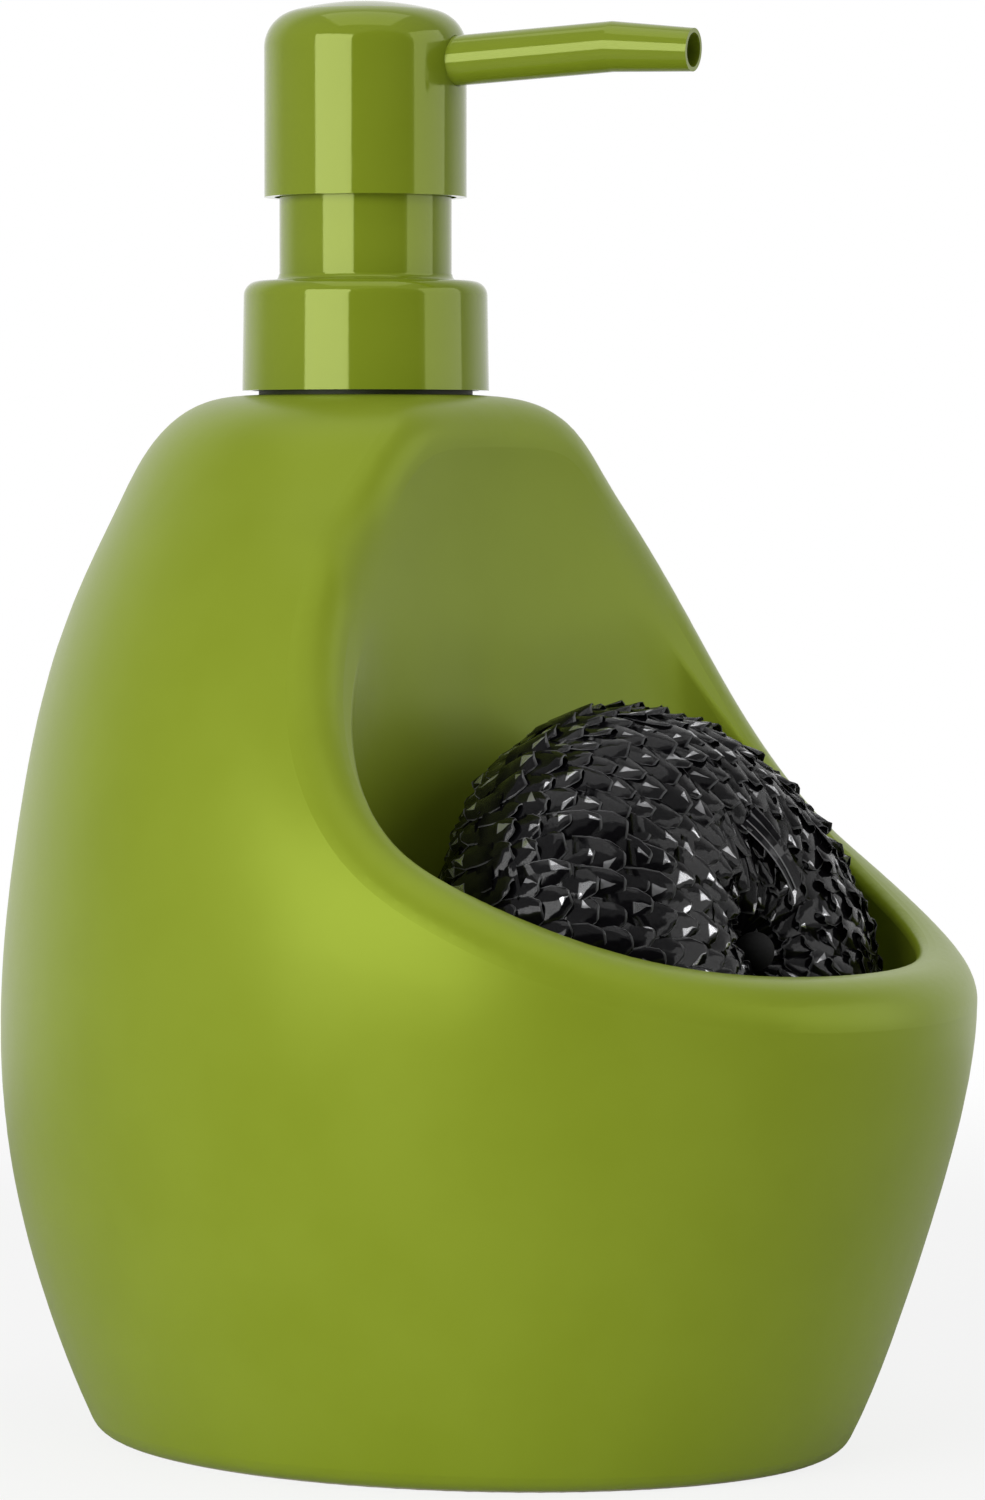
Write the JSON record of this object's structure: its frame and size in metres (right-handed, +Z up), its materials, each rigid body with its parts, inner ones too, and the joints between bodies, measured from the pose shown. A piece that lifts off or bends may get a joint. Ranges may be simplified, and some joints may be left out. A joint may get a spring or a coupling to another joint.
{
  "type": "soap pump caddy",
  "caption": "Ovoid glazed ceramic soap dispenser with a screw-on lotion pump and a scooped front pocket that holds a knitted scrubber.",
  "frame": {"origin": "foot of the pump axis, in the plane of the base", "axes": "+Z up along the pump axis, -Y towards the pocket, +X to the right of someone who looks along +Y at the pocket"},
  "size_m": [0.1162, 0.1395, 0.1949],
  "materials": {
    "green_glaze": "satin",
    "green_gloss": "gloss",
    "natural_plastic": "matte",
    "tube_plastic": "satin",
    "seal_rubber": "matte",
    "spring_steel": "polished",
    "black_mesh": "shiny knitted plastic mesh"
  },
  "bodies": {
    "vessel": {"ceramic_body": "green_glaze", "neck_adapter": "natural_plastic"},
    "pump_unit": {"pump_housing": "natural_plastic", "chaplet": "natural_plastic", "sleeve": "green_gloss", "dip_tube": "tube_plastic", "neck_gasket": "seal_rubber", "ball_cage": "natural_plastic", "return_spring": "spring_steel"},
    "collar": {"closure_ring": "natural_plastic", "collar_shell": "green_gloss"},
    "plunger": {"valve_plug": "natural_plastic"},
    "head": {"stem": "natural_plastic", "actuator_core": "natural_plastic", "head_shell": "green_gloss", "nozzle_tube": "green_gloss"},
    "piston_ring": {"piston": "natural_plastic"},
    "ball": {"inlet_ball": "spring_steel"},
    "scrubber_puff": {"scrubber": "black_mesh", "scrubber_tie": "black_mesh"}
  },
  "joints": [
    {"name": "pump_lift", "type": "slide", "parent": "vessel", "child": "pump_unit", "axis": [0, 0, 1], "range_m": [0, 0.15]},
    {"name": "collar_turn", "type": "hinge", "parent": "pump_unit", "child": "collar", "pos_m": [0, 0, 0.15], "axis": [0, 0, 1], "range_deg": [0, 540]},
    {"name": "pump_press", "type": "slide", "parent": "pump_unit", "child": "plunger", "axis": [0, 0, 1], "range_m": [-0.01, 0], "stiffness_N_per_m": 600, "springref_m": 0.01, "deforming": ["return_spring"]},
    {"name": "head_turn", "type": "hinge", "parent": "plunger", "child": "head", "pos_m": [0, 0, 0.18], "axis": [0, 0, 1], "continuous": true},
    {"name": "piston_lag", "type": "slide", "parent": "plunger", "child": "piston_ring", "axis": [0, 0, 1], "range_m": [0, 0.001]},
    {"name": "ball_rise", "type": "slide", "parent": "pump_unit", "child": "ball", "axis": [0, 0, 1], "range_m": [0, 0.0014]},
    {"name": "scrubber_lift", "type": "slide", "parent": "vessel", "child": "scrubber_puff", "axis": [0, 0, 1], "range_m": [0, 0.068]}
  ]
}
